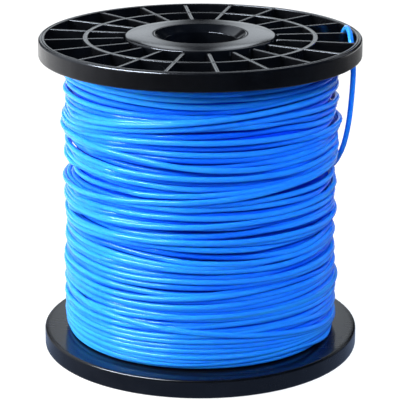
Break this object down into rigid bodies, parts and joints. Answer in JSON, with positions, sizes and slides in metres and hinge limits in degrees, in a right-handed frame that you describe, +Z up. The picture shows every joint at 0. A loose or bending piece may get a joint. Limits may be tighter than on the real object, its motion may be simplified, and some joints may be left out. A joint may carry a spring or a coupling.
{
  "type": "line spool",
  "caption": "Ribbed plastic spool wound full of thick round nylon line, with a funnelled through-bore and the line's free end parked through the flange.",
  "frame": {"origin": "on the floor under the middle of the spool, in the plane of the bottom flange's rim face", "axes": "+Z up along the bore, from the bottom flange to the top flange; +X towards the side where the line's free end runs up"},
  "size_m": [0.16, 0.16, 0.163],
  "materials": {
    "flange_plastic": "black moulded plastic, satin",
    "cap_plastic": "black moulded plastic, fine satin",
    "core_plastic": "black moulded plastic, plain",
    "line_nylon": "bright blue extruded nylon, glossy"
  },
  "bodies": {
    "root": {"top_flange": "flange_plastic", "bottom_flange": "flange_plastic", "barrel": "core_plastic", "arbor_tube": "core_plastic", "top_hub_cap": "cap_plastic", "bottom_hub_cap": "cap_plastic", "line_inner_layers": "line_nylon", "line_outer_layers": "line_nylon", "line_anchored_end": "line_nylon", "line_tail": "line_nylon"}
  },
  "joints": []
}
